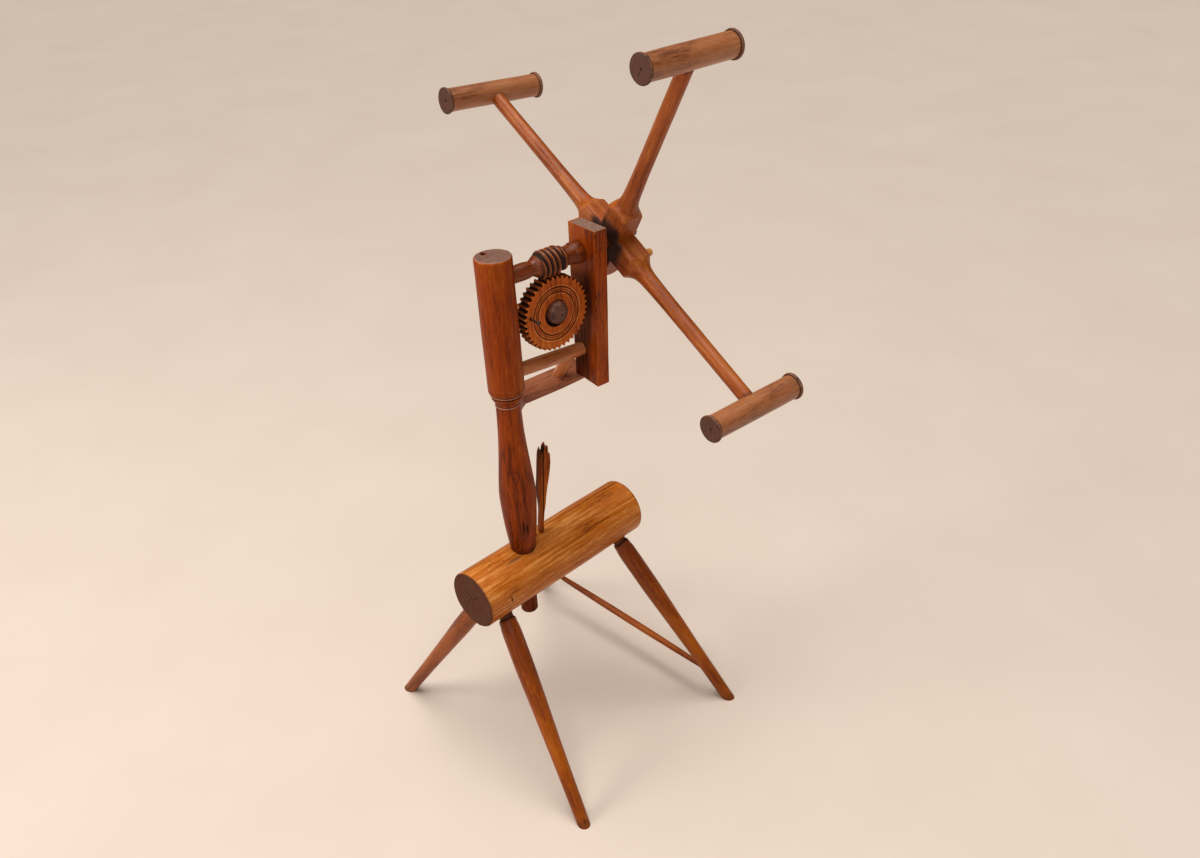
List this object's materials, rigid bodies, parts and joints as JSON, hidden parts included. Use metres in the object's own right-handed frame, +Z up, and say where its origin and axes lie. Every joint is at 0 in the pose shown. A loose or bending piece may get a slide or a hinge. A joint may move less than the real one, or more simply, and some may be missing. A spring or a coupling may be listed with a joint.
{
  "type": "geared skein reel",
  "caption": "Floor-standing wooden skein reel: lipped crossbars on turned arms, worm-driven counting wheel, turned post on a legged log.",
  "frame": {"origin": "on the floor, under the middle of the object's bounding box", "axes": "+Z up; +Y along the reel's axle, from the post towards the arms; +X across, towards the wheel's face"},
  "size_m": [0.5694, 0.4038, 1.0504],
  "materials": {
    "log_wood": "worn varnish, golden brown with dark streaks",
    "leg_wood": "satin varnish, red-brown",
    "post_wood": "satin varnish, red-brown with fine vertical grain",
    "board_wood": "satin varnish, dark red-brown",
    "wheel_wood": "worn turned face, dark gullets",
    "reel_wood": "satin varnish, mid brown",
    "peg_wood": "light bare wood",
    "iron": "dull rusted wrought iron"
  },
  "bodies": {
    "frame": {"base_log": "log_wood", "leg_front_left": "leg_wood", "leg_front_right": "leg_wood", "leg_back_left": "leg_wood", "leg_back_right": "leg_wood", "back_stretcher": "leg_wood", "main_post": "post_wood", "clicker_stub": "post_wood", "bearing_board": "board_wood", "spacer_rod": "post_wood", "lower_shelf": "post_wood", "shelf_strut": "post_wood", "wheel_rail": "board_wood", "wheel_pin": "reel_wood"},
    "reel": {"reel_axle": "reel_wood", "hub_key": "peg_wood", "arm_beam": "reel_wood", "arm_single": "reel_wood", "crossbar_left": "reel_wood", "crossbar_top": "reel_wood", "crossbar_right": "reel_wood", "turning_peg": "peg_wood"},
    "counter_wheel": {"counting_wheel": "wheel_wood", "strike_nail": "iron"}
  },
  "joints": [
    {"name": "reel_spin", "type": "hinge", "parent": "frame", "child": "reel", "pos_m": [0.0036, 0.0111, 0.7694], "axis": [0, 1, 0], "continuous": true},
    {"name": "wheel_spin", "type": "hinge", "parent": "frame", "child": "counter_wheel", "pos_m": [0.0036, 0.0111, 0.7013], "axis": [1, 0, 0], "continuous": true}
  ],
  "couplings": [
    {"joint": "wheel_spin", "follows": "reel_spin", "ratio": 0.025}
  ]
}
